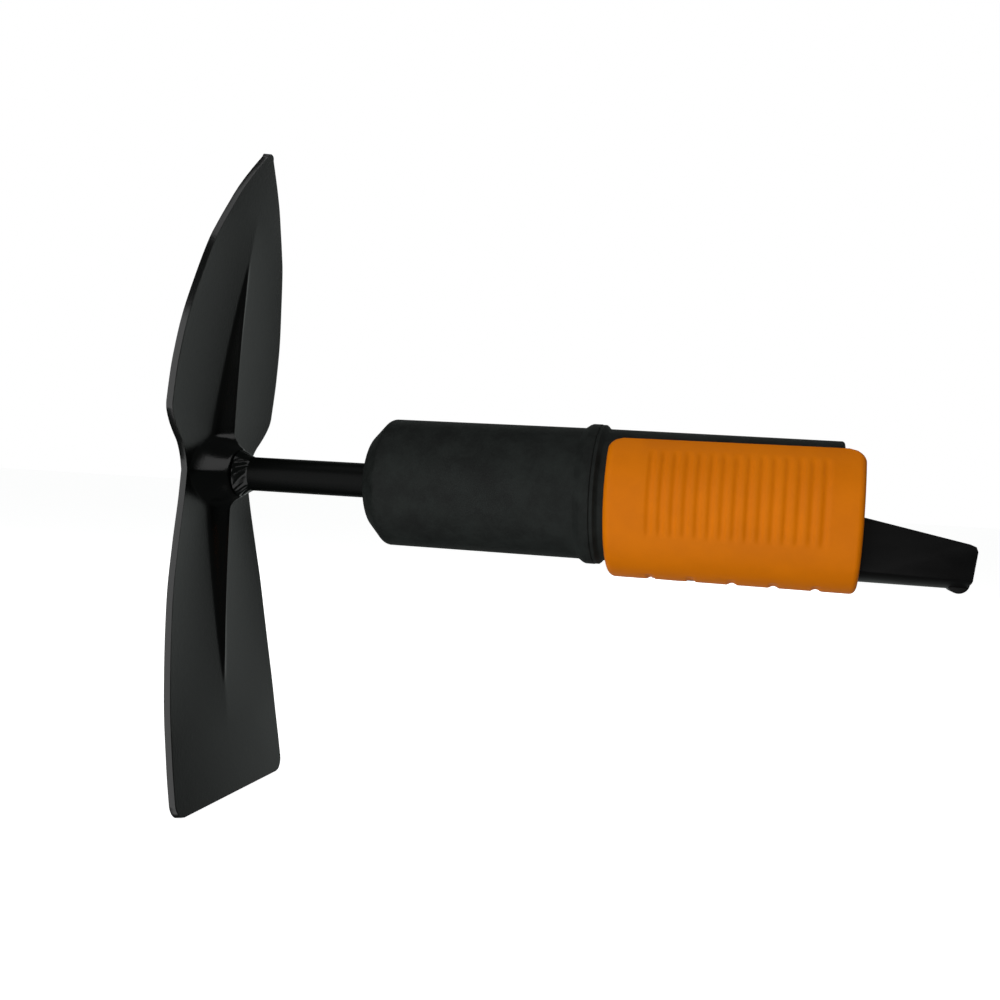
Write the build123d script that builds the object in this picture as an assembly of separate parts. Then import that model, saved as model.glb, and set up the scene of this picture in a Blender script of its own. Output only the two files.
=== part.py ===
from build123d import *
import math
import os

# Head of a grub hoe: a two-ended forged-sheet blade on a round shaft, and a moulded socket with a
# sliding lock sleeve that takes a plug-in handle. X runs along the shaft towards the handle,
# Z towards the pointed end of the blade. The origin is on the shaft's axis, in the end face of
# the socket where the handle's shoulder rests. All sizes are in millimetres.

# Driving dimensions: places along X
HUB_X = -188.6          # face of the blade that looks at the handle, on the axis
BOSS_TOP_X = -180.6
WELD_END_X = -175.6
NOSE_X = -135.4         # blunt front end of the moulded body
COLLAR_X = -71.7        # raised collar where the two body mouldings meet
PARTING_X = -67.0
COLLAR_END_X = -65.8
SHELL_OPEN_X = -62.4    # behind this the shell is only an upper half
SLEEVE_X0 = -62.8
SLEEVE_X1 = 5.0
TONGUE_TIP_X = 34.5
LATCH_X = -46.6         # axis of the latch bolt
SLEEVE_TRAVEL = 10.0
PLUG_X = -126.6         # front end of the inner moulding
SHAFT_END_X = -76.6
ROD_END_X = -54.6       # rear end of the spring rod

# Driving dimensions: radii about the axis
SHAFT_R = 5.25
BODY_R = 19.0
SHELL_END_R = 18.5
COLLAR_R = 20.25
BORE_R = 15.9           # inside of both mouldings
NOSE_DROP = 5.4         # how far the conical nose falls to its flat end
NOSE_LENGTH = 5.2
SADDLE_R = 19.7
SLEEVE_R = 23.3
SLEEVE_BORE_R = 20.6
LIP_R = 19.25           # guide lips of the sleeve
TONGUE_BASE_Z = -19.75  # underside of the tongue

# Blade
SHEET = 2.0
FLAT_END_Z = -100.0
FLAT_HALF_W = 35.0
CORNER_R = 4.5
POINT_Z = 100.0
POINT_HALF_W = 0.9
SHOULDER = (32.6, 19.0)
NECK = (20.0, -1.0)
RIB_START_Z = 8.0
RIB_END_Z = 65.0
RIB_HALF_W = 6.0
RIB_RISE = 2.6
BOSS_HALF_W = 18.5
BOSS_HALF_H = 12.5
BOSS_TOP_R = 7.9
WELD_R = 7.7

# Socket: the flat that the handle's wedge slides on falls towards the tongue's tip
FLAT_SLOPE = -0.2
FLAT_Z0 = -0.92         # height of that flat in the plane of the end face
SPLIT_Z = -3.0          # the shell's lower edges

# Lock sleeve
HALF_OPENING = math.radians(47.5)
GROOVES = 15
GROOVE_PITCH = 3.24
FIRST_GROOVE_X = SLEEVE_X0 + 12.7

# Fixings
PIN_R = 2.0
PIN_HALF_L = 15.5
SCREW_R = 1.5
HEAD_R = 2.8
SLOT_HALF_L = 1.9
SLOT_HALF_W = 0.4
SLOT_DEPTH = 0.5
PIN_XS = (-113.6, -93.6)
SHELL_SCREW_XS = (-54.6, -38.6)
CAM_SCREW_XS = (-47.85, -40.6)
SPRING_Z = -10.8        # line of the return spring and its rod
SPRING_END_X = -84.6
ROD_R = 1.5
BOLT_R = 3.0
BOLT_TOP_Z = 12.6
CAM_X0 = -52.1
CAM_X1 = -32.6
RAMP_SLOPE = -0.5

BIG = 60.0              # further out than any part


def rod_x(x0, x1, r, y=0.0, z=0.0):
    """A round bar along X."""
    return Pos((x0 + x1) / 2, y, z) * Rot(0, 90, 0) * Cylinder(r, x1 - x0)


def rod_y(x, y0, y1, r, z=0.0):
    """A round bar along Y."""
    return Pos(x, (y0 + y1) / 2, z) * Rot(90, 0, 0) * Cylinder(r, abs(y1 - y0))


def rod_z(x, z0, z1, r, y=0.0):
    """A round bar along Z."""
    return Pos(x, y, (z0 + z1) / 2) * Cylinder(r, z1 - z0)


def block(x0, x1, y0, y1, z0, z1):
    """A box between two corners."""
    size = (x1 - x0, y1 - y0, z1 - z0)
    return Pos((x0 + x1) / 2, (y0 + y1) / 2, (z0 + z1) / 2) * Box(*size)


def side_face(points):
    """A flat face in the XZ plane through points (x, z)."""
    return Face(Wire.make_polygon([(x, 0, z) for x, z in points], close=True))


def side_prism(points, half_width):
    """That face pushed out equally to both sides along Y."""
    return extrude(side_face(points), amount=half_width, dir=(0, 1, 0), both=True)


def turned(points):
    """A body of revolution about X from points (x, radius)."""
    return revolve(side_face(points), axis=Axis.X, revolution_arc=360)


def ramp_z(x):
    """Height of the cam's ramp."""
    return -10.5 + RAMP_SLOPE * (x - CAM_X0 - 1.5)


def flat_z(x):
    """Height of the socket's sliding flat."""
    return FLAT_Z0 + FLAT_SLOPE * x


def sheet_x(z):
    """Handle-side face of the curved blade at height z."""
    return HUB_X + 0.058 * abs(z) + 0.0006 * z * z


# ---------------------------------------------------------------- blade

def blade_outline():
    """Half outline (y, z) of the blade, mirrored into a closed face in the YZ plane."""
    flat_side = Spline(
        (0, FLAT_HALF_W, FLAT_END_Z + CORNER_R),
        (0, 34.4, -82),
        (0, 32.1, -58),
        (0, 28.2, -34),
        (0, 21.7, -10),
        (0, *NECK),
    )
    flare = Spline(
        (0, *NECK),
        (0, 24.0, 8),
        (0, 30.0, 14),
        (0, *SHOULDER),
        tangents=[(0, 0, 1), (0, 0.25, 1)],
    )
    leaf = Spline(
        (0, *SHOULDER),
        (0, 32.5, 32),
        (0, 29.4, 50),
        (0, 23.3, 68),
        (0, 12.6, 86),
        (0, POINT_HALF_W, POINT_Z),
    )
    bulge = CORNER_R * (1 - math.sqrt(0.5))
    corner = ThreePointArc(
        (0, FLAT_HALF_W - CORNER_R, FLAT_END_Z),
        (0, FLAT_HALF_W - bulge, FLAT_END_Z + bulge),
        (0, FLAT_HALF_W, FLAT_END_Z + CORNER_R),
    )
    half = [corner, flat_side, flare, leaf]
    other = [edge.mirror(Plane.XZ) for edge in half]
    foot = Line((0, FLAT_HALF_W - CORNER_R, FLAT_END_Z), (0, CORNER_R - FLAT_HALF_W, FLAT_END_Z))
    tip = Line((0, POINT_HALF_W, POINT_Z), (0, -POINT_HALF_W, POINT_Z))
    return Face(Wire([*half, tip, *other, foot]))


def blade_sheet():
    """Curved sheet, bent towards the handle at both ends."""
    ends = (FLAT_END_Z - 1, POINT_Z + 1)
    front = []
    back = []
    for end in ends:
        mid = end / 2
        front.append(ThreePointArc((HUB_X, 0, 0), (sheet_x(mid), 0, mid), (sheet_x(end), 0, end)))
        back.append(front[-1].moved(Location((-SHEET, 0, 0))))
    caps = []
    for end in ends:
        caps.append(Line((sheet_x(end) - SHEET, 0, end), (sheet_x(end), 0, end)))
    side = Face(Wire([*front, *back, *caps]))
    slab = extrude(side, amount=BIG, dir=(0, 1, 0), both=True)
    outline = extrude(blade_outline().moved(Location((HUB_X - 10, 0, 0))), amount=40, dir=(1, 0, 0))
    return slab & outline


def rib(direction):
    """Tapering ridge on the handle side, from the hub towards one end."""
    sections = []
    for z, half_width, rise in ((RIB_START_Z, RIB_HALF_W, RIB_RISE), (RIB_END_Z, 0.3, 0.05)):
        x = sheet_x(z)
        corners = [(x - 0.9, -half_width), (x - 0.9, half_width), (x + rise, 0)]
        points = [(px, py, direction * z) for px, py in corners]
        sections.append(Face(Wire.make_polygon(points, close=True)))
    return loft(sections)


def hub_boss(grow, top_x):
    """Rounded pyramid pressed up around the shaft; grow thickens or thins it."""
    base = Plane((HUB_X + grow, 0, 1), x_dir=(0, 1, 0), z_dir=(1, 0, 0))
    top = Plane((top_x, 0, 0), x_dir=(0, 1, 0), z_dir=(1, 0, 0))
    wide = base * Ellipse(BOSS_HALF_W + grow, BOSS_HALF_H + grow)
    narrow = top * Circle(BOSS_TOP_R + grow)
    return loft([wide, narrow])


def make_blade():
    solid = blade_sheet() + hub_boss(0, BOSS_TOP_X)
    for direction in (-1, 1):
        solid += rib(direction)
    hollow = hub_boss(-SHEET - 0.1, BOSS_TOP_X - SHEET)
    solid -= hollow
    return solid - rod_x(HUB_X - 5, BOSS_TOP_X + 1, SHAFT_R)


def make_weld():
    bead = turned([
        (BOSS_TOP_X, SHAFT_R),
        (BOSS_TOP_X, WELD_R),
        (BOSS_TOP_X + 1.6, WELD_R - 0.4),
        (WELD_END_X - 1.2, 6.0),
        (WELD_END_X, SHAFT_R),
    ])
    return bead


def make_shaft():
    solid = rod_x(BOSS_TOP_X - 3, SHAFT_END_X, SHAFT_R)
    for x in PIN_XS:
        solid -= rod_y(x, -10, 10, PIN_R)
    return solid


# ---------------------------------------------------------------- body mouldings

def make_front_body():
    """Round shell with a blunt nose and the front half of the collar."""
    outer = [
        (NOSE_X, SHAFT_R),
        (NOSE_X, BODY_R - NOSE_DROP - 0.8),
        (NOSE_X + 0.5, BODY_R - NOSE_DROP + 0.2),
        (NOSE_X + NOSE_LENGTH - 0.5, BODY_R - 0.5),
        (NOSE_X + NOSE_LENGTH + 0.8, BODY_R),
        (COLLAR_X, BODY_R),
        (COLLAR_X + 2.2, COLLAR_R),
        (PARTING_X - 0.3, COLLAR_R),
        (PARTING_X, COLLAR_R - 0.3),
        (PARTING_X, BORE_R),
        (NOSE_X + 6.8, BORE_R),
        (NOSE_X + 6.8, SHAFT_R),
    ]
    return turned(outer)


def make_socket_shell():
    """Rear moulding: a full ring at the collar, then an upper half that covers the wedge."""
    solid = turned([
        (PARTING_X, BORE_R),
        (PARTING_X, COLLAR_R - 0.45),
        (PARTING_X + 0.3, COLLAR_R - 0.15),
        (COLLAR_END_X, COLLAR_R - 0.15),
        (COLLAR_END_X, BODY_R),
        (-0.8, SHELL_END_R),
        (0, SHELL_END_R - 0.8),
        (0, BORE_R),
    ])
    solid -= block(SHELL_OPEN_X, 5, -BIG, BIG, -BIG, SPLIT_Z)
    for x in SHELL_SCREW_XS:
        for side in (-1, 1):
            solid -= rod_y(x, side * 12, side * 20, SCREW_R)
            solid -= rod_y(x, side * 17.4, side * 20, HEAD_R)
    return solid


def tongue():
    """Tongue that hooks under the handle's wedge, with a catch bump near its tip."""
    side = side_prism([
        (-20, flat_z(-20)),
        (32.4, flat_z(32.4)),
        (34.0, flat_z(34.0) - 0.3),
        (TONGUE_TIP_X, -9.3),
        (TONGUE_TIP_X - 1, -17.7),
        (TONGUE_TIP_X - 1.6, -19.2),
        (TONGUE_TIP_X - 2.4, TONGUE_BASE_Z),
        (-20, TONGUE_BASE_Z),
    ], 13)
    taper = [(-21, -12.2, 0), (35, -10, 0), (35, 10, 0), (-21, 12.2, 0)]
    plan = Face(Wire.make_polygon(taper, close=True))
    column = extrude(plan.moved(Location((0, 0, -30))), amount=60, dir=(0, 0, 1))
    bump = rod_y(30.9, -4.5, 4.5, 2.9, z=-17.9)
    return (side & column & rod_x(-21, 35, -TONGUE_BASE_Z)) + bump


def make_tongue_core():
    """Inner moulding: plug in the front body, saddle under the shell, and the tongue."""
    upper = rod_x(PARTING_X - 1, -0.5, BORE_R - 0.1)
    upper -= side_prism([
        (SHELL_OPEN_X, 30),
        (SHELL_OPEN_X, flat_z(SHELL_OPEN_X)),
        (5, flat_z(5)),
        (5, 30),
    ], BIG)
    saddle = rod_x(SHELL_OPEN_X + 0.3, 0, SADDLE_R) & block(-70, 5, -BIG, BIG, -BIG, SPLIT_Z - 0.2)
    solid = rod_x(PLUG_X, PARTING_X, BORE_R) + upper + saddle + tongue()
    solid -= rod_x(PLUG_X - 1, SHAFT_END_X + 1.6, SHAFT_R)
    for x in PIN_XS:
        solid -= rod_y(x, -20, 20, PIN_R)
    solid -= block(CAM_X0 - SLEEVE_TRAVEL - 0.5, CAM_X1 + 0.3, -5.3, 5.3, -30, -6.9)
    solid -= rod_z(LATCH_X, -10, -0.5, 5.25)
    solid -= rod_z(LATCH_X, -10, 20, 3.05)
    solid -= rod_x(SPRING_END_X, -60, 3.9, z=SPRING_Z)
    solid -= rod_x(SPRING_END_X - 4, -80, ROD_R, z=SPRING_Z)
    for x in SHELL_SCREW_XS:
        for side in (-1, 1):
            solid -= rod_y(x, side * 10, side * 20, SCREW_R)
    return solid


# ---------------------------------------------------------------- lock sleeve and cam

def make_lock_sleeve():
    """C-shaped sleeve with grip grooves on its flanks and guide lips along its open edges."""
    solid = turned([
        (SLEEVE_X0, SLEEVE_BORE_R),
        (SLEEVE_X0, SLEEVE_R - 1.6),
        (SLEEVE_X0 + 0.5, SLEEVE_R - 0.6),
        (SLEEVE_X0 + 1.7, SLEEVE_R),
        (SLEEVE_X1 - 1.3, SLEEVE_R),
        (SLEEVE_X1 - 0.4, SLEEVE_R - 0.4),
        (SLEEVE_X1, SLEEVE_R - 1.3),
        (SLEEVE_X1, SLEEVE_BORE_R),
    ])
    lips = turned([
        (-51.6, LIP_R),
        (-51.6, SLEEVE_BORE_R + 0.4),
        (2.4, SLEEVE_BORE_R + 0.4),
        (2.4, LIP_R),
    ]) & block(-60, 10, -BIG, BIG, 11, 20)
    solid += lips
    reach = 50.0
    aside = reach * math.sin(HALF_OPENING)
    above = reach * math.cos(HALF_OPENING)
    gap = [(0, 0, 0), (0, aside, above), (0, -aside, above)]
    wedge = extrude(Face(Wire.make_polygon(gap, close=True)), amount=120, dir=(1, 0, 0))
    solid -= wedge.moved(Location((-80, 0, 0)))
    for k in range(GROOVES):
        x = FIRST_GROOVE_X + GROOVE_PITCH * k
        groove = turned([
            (x - 0.6, SLEEVE_R + 1),
            (x - 0.3, SLEEVE_R - 0.5),
            (x + 0.3, SLEEVE_R - 0.5),
            (x + 0.6, SLEEVE_R + 1),
        ])
        solid -= groove & block(-70, 10, -BIG, BIG, -10.5, 12.2)
    for x in CAM_SCREW_XS:
        solid -= rod_z(x, -25, -18, SCREW_R)
        solid -= rod_z(x, -25, -SLEEVE_R + 1.8, HEAD_R)
    return solid


def make_cam_block():
    """Wedge under the latch bolt, screwed to the sleeve, with a seat for the return spring."""
    solid = side_prism([
        (CAM_X0, -30),
        (CAM_X0, -7.2),
        (CAM_X0 + 1.5, -7.2),
        (CAM_X0 + 1.5, ramp_z(CAM_X0 + 1.5)),
        (CAM_X1, ramp_z(CAM_X1)),
        (CAM_X1, -30),
    ], 5.0)
    solid = solid & rod_x(CAM_X0 - 1, CAM_X1 + 1, SLEEVE_BORE_R)
    solid -= rod_x(CAM_X0 - 1, CAM_X0 + 8, 1.7, z=SPRING_Z)
    for x in CAM_SCREW_XS:
        solid -= rod_z(x, -25, ramp_z(x) - 1.2, SCREW_R)
    return solid


def make_cam_screw(x):
    """Slotted screw from below, through the sleeve into the cam."""
    top = ramp_z(x) - 1.4
    head = -SLEEVE_R + 1.8
    under = head - 1.4
    screw = rod_z(x, head - 0.1, top, SCREW_R) + rod_z(x, under, head, HEAD_R)
    slot = block(x - SLOT_HALF_L, x + SLOT_HALF_L, -SLOT_HALF_W, SLOT_HALF_W, under - 1, under + SLOT_DEPTH)
    return screw - slot


def make_shell_screw(x, side):
    """Slotted screw from one side (-1 near, 1 far), through the shell into the inner moulding."""
    outside = 18.3
    screw = rod_y(x, side * 10, side * 17.5, SCREW_R) + rod_y(x, side * 17.4, side * outside, HEAD_R)
    ends = sorted([side * (outside - SLOT_DEPTH), side * (outside + 1)])
    slot = block(x - SLOT_HALF_L, x + SLOT_HALF_L, *ends, -SLOT_HALF_W, SLOT_HALF_W)
    return screw - slot


# ---------------------------------------------------------------- latch and springs

def coil(start, end, radius, wire, pitch, along_x):
    """A wire spring between two faces, along X or Z."""
    height = abs(end - start) - 2 * wire
    path = Helix(pitch=pitch, height=height, radius=radius)
    section = Plane(path @ 0, z_dir=path % 0) * Circle(wire / 2)
    spring = sweep(section, path=path)
    if along_x:
        return Pos(start + wire, 0, SPRING_Z) * Rot(0, 90, 0) * spring
    return Pos(LATCH_X, 0, start + wire) * spring


def make_latch_bolt():
    """Round bolt with a square foot whose underside follows the cam's ramp."""
    foot = side_prism([
        (LATCH_X - 3.6, ramp_z(LATCH_X - 3.6) + 0.1),
        (LATCH_X + 3.6, ramp_z(LATCH_X + 3.6) + 0.1),
        (LATCH_X + 3.6, -8.2),
        (LATCH_X - 3.6, -8.2),
    ], 4.8)
    stem = rod_z(LATCH_X, -8.3, BOLT_TOP_Z, BOLT_R)
    return chamfer(stem.edges().sort_by(Axis.Z)[-1], 1.2) + foot


def write(name, solid):
    export_step(solid, f"parts/{name}.step")


os.makedirs("parts", exist_ok=True)
write("hoe_blade", make_blade())
write("hub_weld", make_weld())
write("shaft", make_shaft())
write("front_body", make_front_body())
write("socket_shell", make_socket_shell())
write("tongue_core", make_tongue_core())
for place, x in zip(("front", "rear"), PIN_XS):
    write(f"roll_pin_{place}", rod_y(x, -PIN_HALF_L, PIN_HALF_L, PIN_R))
shell_screws = [make_shell_screw(x, side) for x in SHELL_SCREW_XS for side in (-1, 1)]
for number, screw in enumerate(shell_screws, 1):
    write(f"shell_screw_{number}", screw)
write("lock_sleeve", make_lock_sleeve())
write("cam_block", make_cam_block())
for place, x in zip(("front", "rear"), CAM_SCREW_XS):
    write(f"cam_screw_{place}", make_cam_screw(x))
write("spring_rod", rod_x(SPRING_END_X - 4, ROD_END_X, ROD_R, z=SPRING_Z))
write("return_spring", coil(SPRING_END_X, CAM_X0, 3.1, 0.8, 3.4, True))
write("latch_spring", coil(-8.2, -0.5, 4.2, 0.9, 2.6, False))
write("latch_bolt", make_latch_bolt())
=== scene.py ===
import bpy
import math
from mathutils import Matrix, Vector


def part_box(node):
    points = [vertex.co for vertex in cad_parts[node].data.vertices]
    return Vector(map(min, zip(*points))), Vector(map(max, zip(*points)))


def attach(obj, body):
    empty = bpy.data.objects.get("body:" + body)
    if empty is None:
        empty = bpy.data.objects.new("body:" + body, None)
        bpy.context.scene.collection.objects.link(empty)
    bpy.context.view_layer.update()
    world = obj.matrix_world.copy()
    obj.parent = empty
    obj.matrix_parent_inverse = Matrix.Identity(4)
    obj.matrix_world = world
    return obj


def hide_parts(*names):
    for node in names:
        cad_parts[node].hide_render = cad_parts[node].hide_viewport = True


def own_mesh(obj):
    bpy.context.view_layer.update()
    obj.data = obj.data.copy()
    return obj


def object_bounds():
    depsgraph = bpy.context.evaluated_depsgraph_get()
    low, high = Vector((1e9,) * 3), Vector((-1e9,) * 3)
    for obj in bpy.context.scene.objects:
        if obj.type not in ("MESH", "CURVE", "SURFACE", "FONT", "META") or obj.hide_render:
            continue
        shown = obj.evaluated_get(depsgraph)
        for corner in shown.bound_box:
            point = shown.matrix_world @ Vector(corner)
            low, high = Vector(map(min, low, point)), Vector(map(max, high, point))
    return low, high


# Looks of the grub hoe head. X runs along the shaft towards the handle, Z towards the pointed end
# of the blade, and the origin is on the axis in the end face of the socket. Metres.

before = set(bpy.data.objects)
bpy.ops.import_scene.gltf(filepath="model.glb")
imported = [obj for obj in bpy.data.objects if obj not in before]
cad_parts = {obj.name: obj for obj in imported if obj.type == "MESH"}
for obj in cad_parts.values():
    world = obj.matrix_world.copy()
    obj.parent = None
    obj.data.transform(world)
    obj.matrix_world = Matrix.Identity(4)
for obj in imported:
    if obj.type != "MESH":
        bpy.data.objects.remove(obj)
cad_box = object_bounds()

MM = 0.001

# Places along the axis and radii, read from the frame where the frame has them.
BLADE_LOW, BLADE_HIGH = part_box("hoe_blade")
WELD_LOW, WELD_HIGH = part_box("hub_weld")
SHAFT_LOW, SHAFT_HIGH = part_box("shaft")
BODY_LOW, BODY_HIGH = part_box("front_body")
SHELL_LOW, SHELL_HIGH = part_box("socket_shell")
SLEEVE_LOW, SLEEVE_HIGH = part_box("lock_sleeve")

SHEET = 2.0 * MM
HUB_X = BLADE_LOW.x + SHEET
FLAT_END = BLADE_LOW.z
POINT_END = BLADE_HIGH.z
BOSS_HEIGHT = 7.2 * MM
BOSS_TOP_R = 7.6 * MM
BOSS_REACH_UP = 14.0 * MM
BOSS_REACH_DOWN = 12.5 * MM
BOSS_SIDE = 5.0 * MM
NECK_HALF_W = 19.9 * MM
RIB_END = 67.0 * MM
RIB_WIDTH = 7.8 * MM
RIB_HEIGHT = 5.0 * MM
BEND = 6.0 * MM
HOLLOW = 0.36 * MM
HOLLOW_START = 16.0 * MM
HOLLOW_END = 80.0 * MM
SHAFT_R = SHAFT_HIGH.y
BODY_R = 19.0 * MM
COLLAR_R = BODY_HIGH.y
BORE_R = 15.9 * MM
NOSE_LENGTH = 5.2 * MM
NOSE_DROP = 5.4 * MM
NOSE_ROUND = 2.2 * MM
NOSE_WALL = 6.8 * MM
COLLAR_LENGTH = 4.9 * MM        # front half of the collar, with its slope
SHELL_END_R = 18.5 * MM
SPLIT_Z = -3.0 * MM             # lower edges of the rear shell
HEAD_HOLE_R = 2.9 * MM          # holes that the screw heads sit in
SLEEVE_R = SLEEVE_HIGH.y
SLEEVE_BORE_R = 20.6 * MM
SKIN = 0.05 * MM                # closer than this counts as lying on a surface


# ---------------------------------------------------------------- mesh helpers

def start_piece():
    """Nothing selected, object mode: ready for a new primitive."""
    if bpy.context.object and bpy.context.object.mode != "OBJECT":
        bpy.ops.object.mode_set(mode="OBJECT")
    bpy.ops.object.select_all(action="DESELECT")


def named(name):
    """Names the piece just made, and its mesh."""
    piece = bpy.context.object
    piece.name = name
    piece.data.name = name
    return piece


def only(piece):
    """Selects one piece and makes it active."""
    bpy.ops.object.select_all(action="DESELECT")
    piece.select_set(True)
    bpy.context.view_layer.objects.active = piece


def apply_modifier(piece, kind, **settings):
    """Adds a modifier with its settings and applies it."""
    only(piece)
    modifier = piece.modifiers.new(kind.lower(), kind)
    for key, value in settings.items():
        setattr(modifier, key, value)
    bpy.ops.object.modifier_apply(modifier=modifier.name)


def tidy_normals(piece):
    """Merges doubles and turns all faces outwards."""
    only(piece)
    bpy.ops.object.mode_set(mode="EDIT")
    bpy.ops.mesh.select_all(action="SELECT")
    bpy.ops.mesh.remove_doubles(threshold=0.5e-6)
    bpy.ops.mesh.normals_make_consistent(inside=False)
    bpy.ops.object.mode_set(mode="OBJECT")


def round_edges(piece, width, segments, degrees):
    """Rounds the edges that turn by more than an angle."""
    apply_modifier(piece, "BEVEL", width=width, segments=segments, limit_method="ANGLE",
                   angle_limit=math.radians(degrees))


def smooth(piece, degrees):
    """Smooth shading, with edges kept where faces meet at more than an angle."""
    only(piece)
    bpy.ops.object.shade_smooth_by_angle(angle=math.radians(degrees))


def profile_piece(name, points):
    """A closed wire profile of points (x, radius) in the XZ plane, made from one extruded vertex."""
    start_piece()
    bpy.ops.mesh.primitive_plane_add(size=0.001, location=(0, 0, 0))
    bpy.ops.object.mode_set(mode="EDIT")
    bpy.ops.mesh.merge(type="CENTER")
    bpy.ops.transform.translate(value=(points[0][0], 0, points[0][1]))
    for before, after in zip(points, points[1:]):
        step = (after[0] - before[0], 0, after[1] - before[1])
        bpy.ops.mesh.extrude_region_move(TRANSFORM_OT_translate={"value": step})
    bpy.ops.mesh.select_all(action="DESELECT")
    bpy.ops.object.mode_set(mode="OBJECT")
    vertices = bpy.context.object.data.vertices
    for end in (0, len(vertices) - 1):
        vertices[end].select = True
    bpy.ops.object.mode_set(mode="EDIT")
    bpy.ops.mesh.edge_face_add()
    bpy.ops.object.mode_set(mode="OBJECT")
    return named(name)


def spun(name, points, steps, start=0.0, sweep=math.tau):
    """A profile (x, radius) spun about X from an angle, measured from +Z towards -Y."""
    piece = profile_piece(name, points)
    bpy.ops.object.mode_set(mode="EDIT")
    bpy.ops.mesh.select_all(action="SELECT")
    if start:
        bpy.ops.transform.rotate(value=start, orient_axis="X", center_override=(0, 0, 0))
    bpy.ops.mesh.spin(steps=steps, angle=sweep, center=(0, 0, 0), axis=(1, 0, 0))
    bpy.ops.object.mode_set(mode="OBJECT")
    return piece


def arc(cx, cr, radius, first, last, count):
    """Points (x, radius) along a round corner, angles in degrees from +X."""
    steps = [math.radians(first + (last - first) * k / count) for k in range(count + 1)]
    return [(cx + radius * math.cos(a), cr + radius * math.sin(a)) for a in steps]


def eased(points, x):
    """Smooth curve through points (x, y): cubic pieces with slopes from their neighbours."""
    if x <= points[0][0]:
        return points[0][1]
    if x >= points[-1][0]:
        return points[-1][1]
    k = max(i for i, p in enumerate(points[:-1]) if p[0] <= x)

    def slope(i):
        low, high = max(i - 1, 0), min(i + 1, len(points) - 1)
        return (points[high][1] - points[low][1]) / (points[high][0] - points[low][0])

    (x0, y0), (x1, y1) = points[k], points[k + 1]
    width = x1 - x0
    t = (x - x0) / width
    a, b = slope(k) * width, slope(k + 1) * width
    from_start = (2 * t**3 - 3 * t**2 + 1) * y0 + (t**3 - 2 * t**2 + t) * a
    return from_start + (3 * t**2 - 2 * t**3) * y1 + (t**3 - t**2) * b


# ---------------------------------------------------------------- blade

# Half outline of the blade as points (height, half width) in millimetres.
FLAT_SIDE = [(-95.5, 34.95), (-88, 34.75), (-82, 34.4), (-70, 33.6), (-58, 32.1), (-46, 30.35),
             (-34, 28.2), (-22, 25.0), (-10, 21.7), (-4, 20.45), (0, 20.0)]
FLARE = [(0, 20.0), (4, 21.4), (8, 24.0), (11, 27.2), (14, 30.0), (17, 32.0), (19, 32.6)]
LEAF = [(19, 32.6), (26, 32.7), (32, 32.5), (44, 30.9), (56, 27.5), (68, 23.3), (74, 20.1), (80, 16.5),
        (86, 12.65), (92, 7.9), (98.6, 2.0)]
CORNER = 4.5                    # corner radius of the flat end, in millimetres
BEND_SLOPE = 0.058
BEND_CURVE = 0.0006 / MM
CREST_ROUND = 0.35 * MM
COLUMNS = 90
STEP_TIGHT = 0.3 * MM
STEP_HUB = 0.5 * MM
STEP_PLAIN = 1.2 * MM
EDGE_ROUND = 0.85 * MM


def half_width(z):
    """Half width of the blade at height z."""
    z = z / MM
    if z < FLAT_SIDE[0][0]:
        drop = FLAT_SIDE[0][0] - z
        return (FLAT_SIDE[0][1] - CORNER + math.sqrt(max(0.0, CORNER**2 - drop**2))) * MM
    if z < 0:
        return eased(FLAT_SIDE, z) * MM
    if z < FLARE[-1][0]:
        return eased(FLARE, z) * MM
    if z < LEAF[-1][0]:
        return eased(LEAF, z) * MM
    top = POINT_END / MM - LEAF[-1][0]
    rise = min(1.0, (z - LEAF[-1][0]) / top)
    return max(0.2, LEAF[-1][1] * math.sqrt(max(0.0, 1 - rise**2))) * MM


def sheet_x(y, z):
    """Handle-side face of the curved blade, a little hollow on each side of its rib."""
    height = abs(z)
    if height < BEND:
        height = (BEND**2 + z**2) / (2 * BEND)
    bend = BEND_SLOPE * height + BEND_CURVE * height**2
    depth = HOLLOW * max(0.0, 1 - (abs(z) / HOLLOW_END) ** 3) * min(1.0, abs(z) / HOLLOW_START)
    across = min(1.0, abs(y) / half_width(z))
    return HUB_X + bend - depth * 4 * across * (1 - across)


def rib_rise(y, z):
    """Pressed rib down the middle of each half: soft at its foot, fairly sharp along its crest."""
    left = 1 - abs(z) / RIB_END
    if left <= 0:
        return 0.0
    width = RIB_WIDTH * left**0.75
    height = RIB_HEIGHT * left**0.9
    across = math.sqrt(y * y + CREST_ROUND**2)
    if across >= width:
        return 0.0
    return height * (1 - across / width) ** 1.5


def boss_rise(y, z):
    """Four-cornered boss pressed up round the shaft, highest in the middle, about as wide as the neck."""
    away = math.hypot(y, z)
    if away < BOSS_TOP_R:
        return BOSS_HEIGHT
    tall = BOSS_REACH_UP if z > 0 else BOSS_REACH_DOWN
    slanted = tall * away / (abs(z) + abs(y) * (tall - BOSS_SIDE) / NECK_HALF_W)
    straight = NECK_HALF_W * away / max(abs(y), 1e-6)
    edge = (slanted**-4 + straight**-4) ** (-1 / 4)
    t = (away - BOSS_TOP_R) / (edge - BOSS_TOP_R)
    if t >= 1:
        return 0.0
    return BOSS_HEIGHT * (1 - t) ** 1.3


def blade_rows():
    """Heights of the rows of the blade's grid, closer together where the outline turns."""
    rows = []
    z = FLAT_END
    while z < POINT_END - 0.05 * MM:
        rows.append(z)
        tight = z < FLAT_END + CORNER * MM or z > POINT_END - 3 * MM
        hub = abs(z) < 21 * MM
        z += STEP_TIGHT if tight else STEP_HUB if hub else STEP_PLAIN
    rows.append(POINT_END)
    return rows


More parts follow.
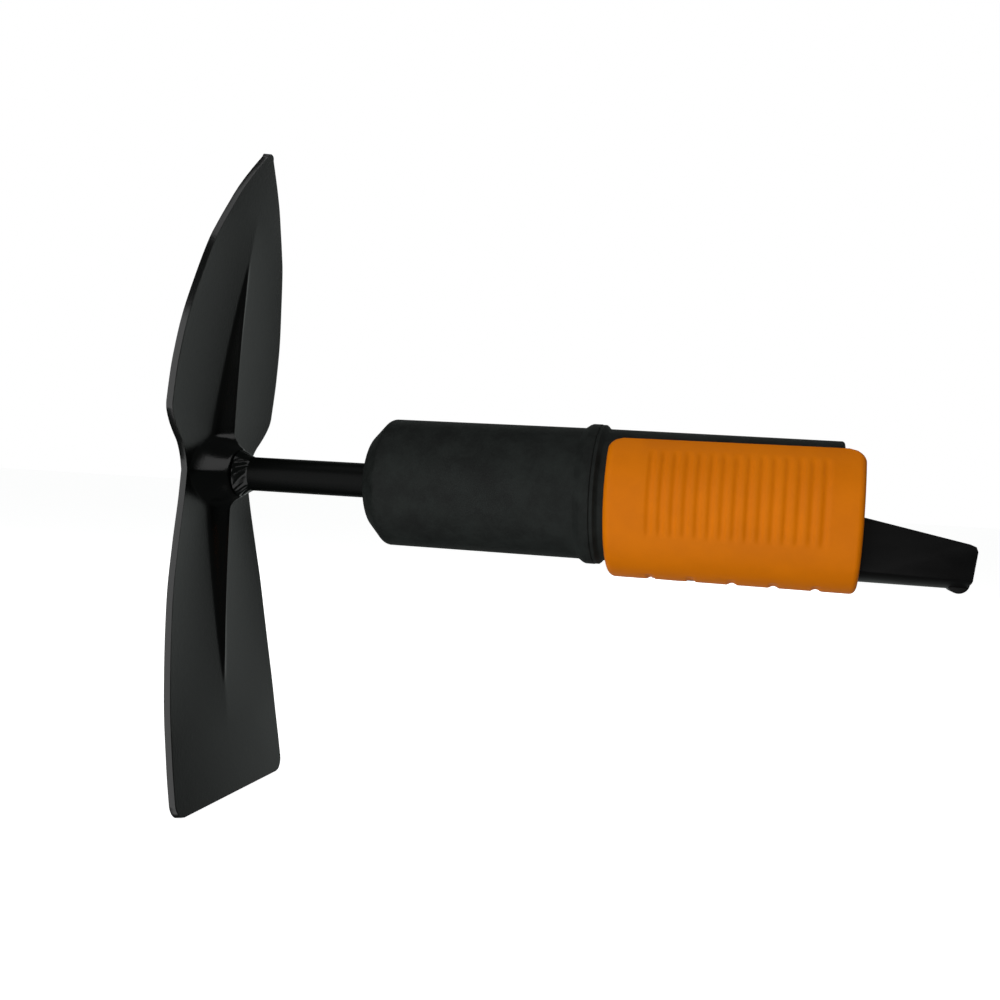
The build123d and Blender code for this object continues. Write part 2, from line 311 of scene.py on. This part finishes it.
def make_blade():
    """Curved sheet: a grid bent to shape, thickened backwards, its edges rounded."""
    rows = blade_rows()
    start_piece()
    bpy.ops.mesh.primitive_grid_add(x_subdivisions=COLUMNS, y_subdivisions=len(rows) - 1, size=2)
    blade = named("blade")
    for vertex in blade.data.vertices:
        across = vertex.co.x
        z = rows[round((vertex.co.y + 1) / 2 * (len(rows) - 1))]
        y = across * half_width(z)
        rib, boss = rib_rise(y, z), boss_rise(y, z)
        rise = (rib**3 + boss**3) ** (1 / 3)
        vertex.co = (sheet_x(y, z) + rise, y, z)
    tidy_normals(blade)
    if blade.data.polygons[0].normal.x < 0:
        blade.data.flip_normals()
    apply_modifier(blade, "SOLIDIFY", thickness=SHEET - 0.03 * MM, offset=-1.0, use_even_offset=False)
    for vertex in blade.data.vertices:
        vertex.co.z = min(POINT_END, max(FLAT_END, vertex.co.z))
    round_edges(blade, EDGE_ROUND, 5, 62)
    smooth(blade, 40)
    return blade


def make_weld():
    """Fillet weld, hollow along its length, with slanted ripples."""
    low, high = WELD_LOW.x, WELD_HIGH.x - 0.8 * MM
    foot = WELD_HIGH.y - 0.4 * MM
    buried_r = SHAFT_R - 0.4 * MM
    count = 20
    ripples = 9
    swell_height = 0.34 * MM
    points = [(low + 0.02 * MM, buried_r)]
    for k in range(count + 1):
        t = k / count
        points.append((low + (high - low) * t, SHAFT_R + (foot - SHAFT_R) * (1 - t) ** 1.6))
    points.append((high, buried_r))
    weld = spun("weld_bead", points, 240)
    for vertex in weld.data.vertices:
        x, y, z = vertex.co
        radius = math.hypot(y, z)
        if radius < SHAFT_R:
            continue
        t = (x - low) / (high - low)
        turn = math.atan2(y, z)
        ripple = abs(math.sin(ripples * (turn - 0.5 * t + 0.07 * math.sin(5 * turn)))) ** 0.6
        swell = swell_height * ripple * math.sin(math.pi * t**0.8)
        vertex.co.y = y * (radius + swell) / radius
        vertex.co.z = z * (radius + swell) / radius
    tidy_normals(weld)
    smooth(weld, 60)
    return weld


def make_shaft():
    """Round bar with a small bevel at each end and a hair-thin bore, which spares it a pole."""
    low, high = SHAFT_LOW.x, SHAFT_HIGH.x
    rim = 0.6 * MM
    thread_r = 0.2 * MM
    points = [(low, thread_r), (low, SHAFT_R - rim), (low + rim, SHAFT_R), (high - rim, SHAFT_R),
              (high, SHAFT_R - rim), (high, thread_r)]
    rod = spun("shaft_rod", points, 96)
    tidy_normals(rod)
    smooth(rod, 30)
    return rod


# ---------------------------------------------------------------- body mouldings

def make_front_body():
    """Blunt cylinder with a rounded nose and the front half of the collar."""
    low, high = BODY_LOW.x, BODY_HIGH.x
    hole = SHAFT_R + 0.05 * MM
    hole_rim = 0.4 * MM
    collar_round = 0.9 * MM
    rim = 0.35 * MM
    tangent = NOSE_ROUND * math.tan(math.pi / 8)
    points = [(low + 3 * MM, hole), (low + hole_rim, hole), (low, hole + hole_rim)]
    points += arc(low + NOSE_ROUND, BODY_R - NOSE_DROP - tangent, NOSE_ROUND, 180, 135, 6)
    points += arc(low + NOSE_LENGTH + tangent, BODY_R - NOSE_ROUND, NOSE_ROUND, 135, 90, 6)
    step = high - COLLAR_LENGTH
    points += [(step, BODY_R), (step + 0.25 * MM, BODY_R + 0.05 * MM)]
    points += [(step + 1.6 * MM, COLLAR_R - 0.25 * MM)]
    points += arc(step + 2.4 * MM, COLLAR_R - collar_round, collar_round, 130, 90, 4)
    points += arc(high - rim, COLLAR_R - rim, rim, 90, 0, 4)
    points += [(high, BORE_R), (low + NOSE_WALL, BORE_R), (low + NOSE_WALL, hole)]
    body = spun("front_moulding", points, 160)
    tidy_normals(body)
    smooth(body, 35)
    return body


def make_socket_shell():
    """Rear half of the collar, and the half shell that covers the handle's wedge."""
    low, high = SHELL_LOW.x, SHELL_HIGH.x
    ring_r = COLLAR_R - 0.12 * MM
    rim = 0.3 * MM
    end_round = 0.8 * MM
    points = [(low, BORE_R)]
    points += arc(low + rim, ring_r - rim, rim, 180, 90, 4)
    points += [(low + 1.0 * MM, ring_r), (low + 1.35 * MM, ring_r - rim)]
    points += [(low + 2.0 * MM, BODY_R + 0.1 * MM)]
    points += [(low + 2.3 * MM, BODY_R - 0.02 * MM), (low + 3.2 * MM, BODY_R - 0.03 * MM)]
    points += arc(high - end_round, SHELL_END_R - end_round, end_round, 88, 0, 5)
    points += [(high, BORE_R + rim), (high - rim, BORE_R)]
    shell = spun("socket_moulding", points, 160)
    tidy_normals(shell)
    cut_away(shell, "box", (SLEEVE_LOW.x + 0.4 * MM, -0.04, -0.06), (0.02, 0.04, SPLIT_Z))
    for number in range(1, 5):
        cut_away(shell, "sideways", middle_of(f"shell_screw_{number}"), HEAD_HOLE_R)
    round_edges(shell, 0.25 * MM, 2, 50)
    smooth(shell, 35)
    return shell


def middle_of(node):
    """Middle of a node's box."""
    low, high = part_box(node)
    return (low + high) / 2


def cut_away(piece, form, first, second):
    """Cuts a box between two corners, or a round hole from the side or from below, out of a piece.

    A hole takes the point it is centred on and its radius.
    """
    start_piece()
    if form == "box":
        centre = [(a + b) / 2 for a, b in zip(first, second)]
        bpy.ops.mesh.primitive_cube_add(size=1, location=centre)
        bpy.context.object.dimensions = [abs(b - a) for a, b in zip(first, second)]
    elif form == "sideways":
        place = (first.x, math.copysign(22 * MM, first.y), first.z)
        bpy.ops.mesh.primitive_cylinder_add(vertices=48, radius=second, depth=9.2 * MM, location=place,
                                            rotation=(math.pi / 2, 0, 0))
    else:
        place = (first.x, first.y, -26 * MM)
        bpy.ops.mesh.primitive_cylinder_add(vertices=48, radius=second, depth=9 * MM, location=place)
    cutter = bpy.context.object
    bpy.ops.object.transform_apply(location=True, rotation=True, scale=True)
    apply_modifier(piece, "BOOLEAN", object=cutter, operation="DIFFERENCE", solver="EXACT")
    bpy.data.objects.remove(cutter)


def own_copy(node, name):
    """A piece with a joined-up copy of a node's mesh."""
    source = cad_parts[node]
    bpy.ops.object.select_all(action="DESELECT")
    piece = source.copy()
    piece.data = source.data.copy()
    bpy.context.collection.objects.link(piece)
    piece.name = name
    world = piece.matrix_world.copy()
    piece.parent = None
    piece.matrix_world = world
    tidy_normals(piece)
    return piece


def make_inner_moulding():
    """Inner moulding with its edges softened."""
    piece = own_copy("tongue_core", "inner_moulding")
    apply_modifier(piece, "DECIMATE", decimate_type="DISSOLVE", angle_limit=math.radians(0.5))
    apply_modifier(piece, "BEVEL", width=1.0 * MM, segments=4, limit_method="ANGLE",
                   angle_limit=math.radians(40), use_clamp_overlap=True)
    smooth(piece, 35)
    return piece


def make_return_coil():
    """Return spring: a joined-up copy of the frame's spring, shaded smooth."""
    piece = own_copy("return_spring", "return_coil")
    smooth(piece, 50)
    return piece


# ---------------------------------------------------------------- lock sleeve

GROOVES = 15
PITCH = 3.24 * MM
FIRST_GROOVE = SLEEVE_LOW.x + 12.7 * MM
OPENING = math.radians(47.5)
NOTCHES = 5
NOTCH_PITCH = 11.3 * MM
FIRST_NOTCH = SLEEVE_LOW.x + 12.2 * MM
NOTCH_HALF_L = 9.0 * MM
LIP_R = 19.35 * MM
LIP_WIDTH = 5.0 * MM
LIP_START = SLEEVE_LOW.x + 11.2 * MM
LIP_END = SLEEVE_HIGH.x - 2.6 * MM
GROOVE_DEPTH = 0.4 * MM
GROOVE_HALF_W = 1.1 * MM
GROOVE_TOP = 32.6               # where the grooves run out, in degrees above the side
GROOVE_BOTTOM = -27.6
GROOVE_FADE = 5.0
NOTCH_DEPTH = 0.6 * MM
NOTCH_HALF_W = 1.3 * MM
NOTCH_FADE = 2.5 * MM
NEAR_CORNER_R = 2.8 * MM
FAR_CORNER_R = 3.6 * MM
CORNER_REACH = 10.0 * MM


def groove_depth(x, turn):
    """Depth of the soft grip grooves at x; turn is the height angle above the side, in degrees."""
    if not FIRST_GROOVE - PITCH / 2 < x < FIRST_GROOVE + PITCH * (GROOVES - 0.5):
        return 0.0
    phase = (x - FIRST_GROOVE) / PITCH
    offset = abs(phase - round(phase)) * PITCH
    across = max(0.0, 1 - (offset / GROOVE_HALF_W) ** 2)
    above = min(1.0, max(0.0, (GROOVE_TOP - turn) / GROOVE_FADE))
    below = min(1.0, max(0.0, (turn - GROOVE_BOTTOM) / GROOVE_FADE))
    return GROOVE_DEPTH * across * (above * below) ** 0.5


def notch_depth(x, y, z):
    """Depth of the five short grip notches across the underside."""
    if z > 0:
        return 0.0
    place = (x - FIRST_NOTCH) / NOTCH_PITCH
    offset = abs(x - FIRST_NOTCH - min(NOTCHES - 1, max(0, round(place))) * NOTCH_PITCH)
    across = max(0.0, 1 - (offset / NOTCH_HALF_W) ** 2)
    along = min(1.0, max(0.0, (NOTCH_HALF_L - abs(y)) / NOTCH_FADE))
    return NOTCH_DEPTH * across * along**0.5


def corner_pull(gap, radius):
    """How far a rounded corner draws an end in, at a distance from the sleeve's long edge."""
    if gap >= radius:
        return 0.0
    return radius - math.sqrt(max(0.0, radius**2 - (radius - gap) ** 2))


def make_sleeve():
    """C-shaped sleeve, with rounded ends, grooves on both flanks and guide lips inside."""
    low, high = SLEEVE_LOW.x, SLEEVE_HIGH.x
    bore_rim = 0.4 * MM
    near_round, far_round = 2.0 * MM, 1.6 * MM
    points = [(low + bore_rim, SLEEVE_BORE_R), (low, SLEEVE_BORE_R + bore_rim)]
    points += arc(low + near_round, SLEEVE_R - near_round, near_round, 180, 90, 8)
    fine = 150
    first, last = low + 2.6 * MM, high - 2.1 * MM
    points += [(first + (last - first) * k / fine, SLEEVE_R) for k in range(fine + 1)]
    points += arc(high - far_round, SLEEVE_R - far_round, far_round, 90, 0, 7)
    points += [(high, SLEEVE_BORE_R + bore_rim), (high - bore_rim, SLEEVE_BORE_R)]
    inner = 24
    points += [(high - 1 * MM + (low - high + 2 * MM) * k / inner, SLEEVE_BORE_R) for k in range(inner + 1)]
    sleeve = spun("sleeve", points, 180, start=OPENING, sweep=math.tau - 2 * OPENING)
    for vertex in sleeve.data.vertices:
        x, y, z = vertex.co
        radius = math.hypot(y, z)
        turn = math.degrees(math.atan2(z, abs(y)))
        edge_gap = (math.acos(max(-1, min(1, z / radius))) - OPENING) * SLEEVE_R
        sunk = 0.0
        if radius > SLEEVE_R - SKIN:
            sunk = groove_depth(x, turn) + notch_depth(x, y, z)
        elif radius < SLEEVE_BORE_R + SKIN and edge_gap < LIP_WIDTH and LIP_START < x < LIP_END:
            sunk = SLEEVE_BORE_R - LIP_R
        vertex.co.y = y * (radius - sunk) / radius
        vertex.co.z = z * (radius - sunk) / radius
        near = min(1.0, max(0.0, 1 - (x - low) / CORNER_REACH))
        far = min(1.0, max(0.0, 1 - (high - x) / CORNER_REACH))
        inward = corner_pull(edge_gap, NEAR_CORNER_R) * near - corner_pull(edge_gap, FAR_CORNER_R) * far
        vertex.co.x = x + inward
    close_ends(sleeve)
    tidy_normals(sleeve)
    round_edges(sleeve, 0.6 * MM, 3, 55)
    for node in ("cam_screw_front", "cam_screw_rear"):
        cut_away(sleeve, "upright", middle_of(node), HEAD_HOLE_R)
    smooth(sleeve, 40)
    return sleeve


def close_ends(piece):
    """Fills the open ends of a part-turned sweep."""
    only(piece)
    bpy.ops.object.mode_set(mode="EDIT")
    bpy.ops.mesh.select_mode(type="EDGE")
    bpy.ops.mesh.select_all(action="DESELECT")
    bpy.ops.mesh.select_non_manifold()
    bpy.ops.mesh.edge_face_add()
    bpy.ops.mesh.select_mode(type="VERT")
    bpy.ops.object.mode_set(mode="OBJECT")


# ---------------------------------------------------------------- shader helpers

FINE = 0.1 * MM                 # usual depth of surface relief


class Value:
    """A shader socket that a node's input can be linked to."""

    def __init__(self, socket):
        self.socket = socket


class Paint:
    """One node material, built up by short calls."""

    def __init__(self, name):
        self.material = bpy.data.materials.new(name)
        self.material.use_nodes = True
        self.tree = self.material.node_tree
        self.shader = self.tree.nodes["Principled BSDF"]
        place = self.tree.nodes.new("ShaderNodeTexCoord")
        self.place = Value(place.outputs["Object"])

    def set_input(self, socket, value):
        if isinstance(value, Value):
            self.tree.links.new(value.socket, socket)
        else:
            socket.default_value = value

    def node(self, kind, settings, inputs, output=0):
        made = self.tree.nodes.new(kind)
        for key, value in settings.items():
            setattr(made, key, value)
        for key, value in inputs.items():
            self.set_input(made.inputs[key], value)
        return Value(made.outputs[output])

    def noise(self, scale, detail=2.0, roughness=0.5, stretch=None):
        """Noise over the piece, drawn out along an axis where its stretch is small."""
        place = self.place
        if stretch:
            place = self.node("ShaderNodeMapping", {}, {"Vector": place, "Scale": stretch})
        inputs = {"Vector": place, "Scale": scale, "Detail": detail, "Roughness": roughness}
        return self.node("ShaderNodeTexNoise", {}, inputs)

    def band(self, value, low, high, to_low=0.0, to_high=1.0):
        """value from low..high mapped to to_low..to_high, and held at both ends."""
        settings = {"interpolation_type": "SMOOTHSTEP"}
        inputs = {"Value": value, "From Min": low, "From Max": high, "To Min": to_low, "To Max": to_high}
        return self.node("ShaderNodeMapRange", settings, inputs)

    def mix(self, factor, first, second):
        inputs = {"Factor": factor, 6: first, 7: second}
        return self.node("ShaderNodeMix", {"data_type": "RGBA"}, inputs, output=2)

    def bump(self, height, strength, distance=FINE):
        """Surface relief from a height value, as deep as a distance in metres."""
        inputs = {"Height": height, "Strength": strength, "Distance": distance}
        return self.node("ShaderNodeBump", {}, inputs)

    def finish(self, colour, roughness, normal=None, metallic=0.0, specular=0.5):
        """Wires up the shader and returns the material."""
        inputs = self.shader.inputs
        self.set_input(inputs["Base Color"], colour)
        self.set_input(inputs["Roughness"], roughness)
        self.set_input(inputs["Metallic"], metallic)
        self.set_input(inputs["Specular IOR Level"], specular)
        if normal is not None:
            self.set_input(inputs["Normal"], normal)
        return self.material


def grey(level, tint=(1.0, 1.0, 1.0)):
    """A dark or light grey, with a tint."""
    return (level * tint[0], level * tint[1], level * tint[2], 1.0)


COOL = (0.88, 1.06, 0.98)       # the faint green of the black finishes


def powder_coat_paint():
    """Satin black coat on the blade: a fine orange peel, and faint handling marks."""
    paint = Paint("powder_coat")
    peel = paint.noise(1400, detail=3)
    cloud = paint.noise(45, detail=4, roughness=0.6)
    colour = paint.mix(paint.band(cloud, 0.3, 0.7), grey(0.0022, COOL), grey(0.0034, COOL))
    rough = paint.band(cloud, 0.25, 0.75, 0.19, 0.23)
    return paint.finish(colour, rough, paint.bump(peel, 0.25), specular=0.5)


def weld_paint():
    """Glossier black coat over the lumpy bead."""
    paint = Paint("weld_coat")
    lumps = paint.noise(900, detail=2)
    cloud = paint.noise(200, detail=2)
    colour = paint.mix(cloud, grey(0.003, COOL), grey(0.005, COOL))
    rough = paint.band(cloud, 0.2, 0.8, 0.14, 0.24)
    return paint.finish(colour, rough, paint.bump(lumps, 0.15), specular=0.3)


def shaft_paint():
    """Smooth black coat with faint lines along the bar."""
    paint = Paint("shaft_coat")
    drawn = paint.noise(260, detail=3, stretch=(0.05, 1, 1))
    colour = paint.mix(drawn, grey(0.002, COOL), grey(0.0035, COOL))
    rough = paint.band(drawn, 0.2, 0.8, 0.34, 0.44)
    return paint.finish(colour, rough, paint.bump(drawn, 0.15), specular=0.07)


def body_paint():
    """Matte moulding with a fine spark-eroded grain and soft cloudy wear."""
    paint = Paint("body_moulding")
    grain = paint.noise(2600, detail=2)
    cloud = paint.noise(110, detail=6, roughness=0.7)
    colour = paint.mix(paint.band(cloud, 0.32, 0.68), grey(0.0085, COOL), grey(0.0185, COOL))
    rough = paint.band(cloud, 0.25, 0.75, 0.62, 0.74)
    return paint.finish(colour, rough, paint.bump(grain, 0.35, 0.12 * MM), specular=0.16)


def tongue_paint():
    """Smooth black moulding with faint flow lines along it."""
    paint = Paint("tongue_moulding")
    flow = paint.noise(300, detail=3, stretch=(0.3, 1, 1))
    colour = paint.mix(flow, grey(0.002), grey(0.0035))
    rough = paint.band(flow, 0.2, 0.8, 0.36, 0.46)
    return paint.finish(colour, rough, paint.bump(flow, 0.12), specular=0.16)


def orange_paint():
    """Satin orange moulding with a fine grain."""
    paint = Paint("orange_moulding")
    grain = paint.noise(2200, detail=2)
    cloud = paint.noise(70, detail=4, roughness=0.6)
    colour = paint.mix(paint.band(cloud, 0.3, 0.7), (0.76, 0.192, 0.001, 1), (0.82, 0.212, 0.0015, 1))
    rough = paint.band(cloud, 0.25, 0.75, 0.46, 0.56)
    return paint.finish(colour, rough, paint.bump(grain, 0.25), specular=0.08)


def dark_moulding_paint():
    """Plain black moulding of the cam."""
    paint = Paint("dark_moulding")
    flow = paint.noise(250, detail=3)
    colour = paint.mix(flow, grey(0.008), grey(0.014))
    return paint.finish(colour, paint.band(flow, 0.2, 0.8, 0.4, 0.5), paint.bump(flow, 0.15))


def steel_paint():
    """Zinc-plated steel of the screws, pins, springs and bolt."""
    paint = Paint("zinc_steel")
    brushed = paint.noise(700, detail=3, stretch=(0.2, 1, 1))
    colour = paint.mix(brushed, grey(0.42), grey(0.58))
    rough = paint.band(brushed, 0.2, 0.8, 0.28, 0.42)
    return paint.finish(colour, rough, paint.bump(brushed, 0.1), metallic=1.0)


def dress(piece, material):
    """Gives a new piece its material."""
    piece.data.materials.clear()
    piece.data.materials.append(material)


def dress_node(name, material):
    """Gives a node of the frame a material in place of its own."""
    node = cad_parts[name]
    for held in node.material_slots:
        held.material = material
    if not node.material_slots:
        node.data.materials.append(material)


# ---------------------------------------------------------------- camera, light, floor

CAMERA_PLACE = (-0.01539, -0.32769, -0.00186)
CAMERA_TURN = (89.733, -3.458, 13.961)      # degrees about X, Y and Z
ROOM_WALL = (-0.174, 0.985, 0.0)            # the way towards the pale wall
ROOM_TINT = (0.93, 1, 0.97, 1)
ROOM_DIM = 0.04
ROOM_PALE = 0.42
WALL_EDGE = (0.71, 0.82)                    # cosines between which the wall fades in


def make_camera():
    """Camera at the near side, about level with the axis and turned a little."""
    camera_data = bpy.data.cameras.new("camera")
    camera = bpy.data.objects.new("camera", camera_data)
    bpy.context.collection.objects.link(camera)
    camera_data.sensor_width = 36.0
    camera_data.lens = 41.04
    camera_data.clip_start = 0.01
    camera.location = CAMERA_PLACE
    camera.rotation_euler = [math.radians(angle) for angle in CAMERA_TURN]
    bpy.context.scene.camera = camera


def area_light(name, place, target, size, power):
    """A square soft light that looks at a point."""
    data = bpy.data.lights.new(name, "AREA")
    data.size = size
    data.energy = power
    light = bpy.data.objects.new(name, data)
    bpy.context.collection.objects.link(light)
    light.location = place
    aim = [b - a for a, b in zip(place, target)]
    light.rotation_euler = Vector(aim).to_track_quat("-Z", "Y").to_euler()
    return light


def make_floor():
    """Pale paper just under the lowest point, which isn't mirrored in the object."""
    start_piece()
    bpy.ops.mesh.primitive_plane_add(size=60, location=(0, 0, cad_box[0].z - 0.3 * MM))
    floor = named("floor")
    paint = Paint("floor_paper")
    speck = paint.noise(30, detail=2)
    dress(floor, paint.finish(paint.mix(speck, grey(0.80), grey(0.82)), 0.9, specular=0.1))
    paint.set_input(paint.shader.inputs["Emission Color"], (1, 1, 1, 1))
    paint.set_input(paint.shader.inputs["Emission Strength"], 0.92)
    floor.visible_glossy = False
    floor.visible_diffuse = False
    floor.visible_shadow = False


def make_surround():
    """White behind the object; it mirrors a dim room with a pale wall at the far side."""
    world = bpy.data.worlds.new("studio")
    bpy.context.scene.world = world
    world.use_nodes = True
    nodes, links = world.node_tree.nodes, world.node_tree.links
    place = nodes.new("ShaderNodeTexCoord")
    unit = nodes.new("ShaderNodeVectorMath")
    unit.operation = "NORMALIZE"
    towards = nodes.new("ShaderNodeVectorMath")
    towards.operation = "DOT_PRODUCT"
    towards.inputs[1].default_value = ROOM_WALL
    fade = nodes.new("ShaderNodeMapRange")
    fade.interpolation_type = "SMOOTHSTEP"
    fade.inputs["From Min"].default_value = WALL_EDGE[0]
    fade.inputs["From Max"].default_value = WALL_EDGE[1]
    fade.inputs["To Min"].default_value = ROOM_DIM
    fade.inputs["To Max"].default_value = ROOM_PALE
    room = nodes["Background"]
    room.inputs["Color"].default_value = ROOM_TINT
    backdrop = nodes.new("ShaderNodeBackground")
    backdrop.inputs["Color"].default_value = (1, 1, 1, 1)
    path = nodes.new("ShaderNodeLightPath")
    choose = nodes.new("ShaderNodeMixShader")
    links.new(place.outputs["Generated"], unit.inputs[0])
    links.new(unit.outputs[0], towards.inputs[0])
    links.new(towards.outputs["Value"], fade.inputs["Value"])
    links.new(fade.outputs["Result"], room.inputs["Strength"])
    links.new(path.outputs["Is Camera Ray"], choose.inputs[0])
    links.new(room.outputs[0], choose.inputs[1])
    links.new(backdrop.outputs[0], choose.inputs[2])
    links.new(choose.outputs[0], nodes["World Output"].inputs["Surface"])


def make_lights():
    """Five soft lights; the one at the back isn't mirrored."""
    middle = (-0.05, 0, 0)
    area_light("front_soft", (-0.45, -0.90, 0.0), middle, 1.2, 7.2)
    area_light("top_soft", (-0.25, -0.30, 1.0), middle, 0.7, 1.6)
    area_light("low_soft", (-0.15, -0.55, -0.8), middle, 0.9, 3.6)
    area_light("handle_soft", (0.9, -0.25, 0.65), middle, 0.8, 1.8)
    back = area_light("back_soft", (-0.1, 1.0, 0.5), middle, 1.0, 7.0)
    back.visible_glossy = False
    bpy.context.scene.view_settings.view_transform = "Standard"


# ---------------------------------------------------------------- put together

make_camera()
make_floor()
make_surround()
make_lights()

powder = powder_coat_paint()
body = body_paint()
steel = steel_paint()
dark = dark_moulding_paint()

PIECES = [
    (make_blade(), "hoe_blade", "head", "powder_coat", powder),
    (make_weld(), "hub_weld", "head", "weld_coat", weld_paint()),
    (make_shaft(), "shaft", "head", "shaft_coat", shaft_paint()),
    (make_front_body(), "front_body", "head", "body_moulding", body),
    (make_socket_shell(), "socket_shell", "head", "body_moulding", body),
    (make_inner_moulding(), "tongue_core", "head", "tongue_moulding", tongue_paint()),
    (make_return_coil(), "return_spring", "head", "steel", steel),
    (make_sleeve(), "lock_sleeve", "sleeve", "orange_moulding", orange_paint()),
]
for piece, node, part_of, finish, material in PIECES:
    dress(piece, material)
    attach(piece, part_of)
    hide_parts(node)

coil = bpy.data.objects["return_coil"]
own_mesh(coil)

dress_node("cam_block", dark)
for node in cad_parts:
    if "screw" in node or "spring" in node or "pin" in node or node == "latch_bolt":
        dress_node(node, steel)
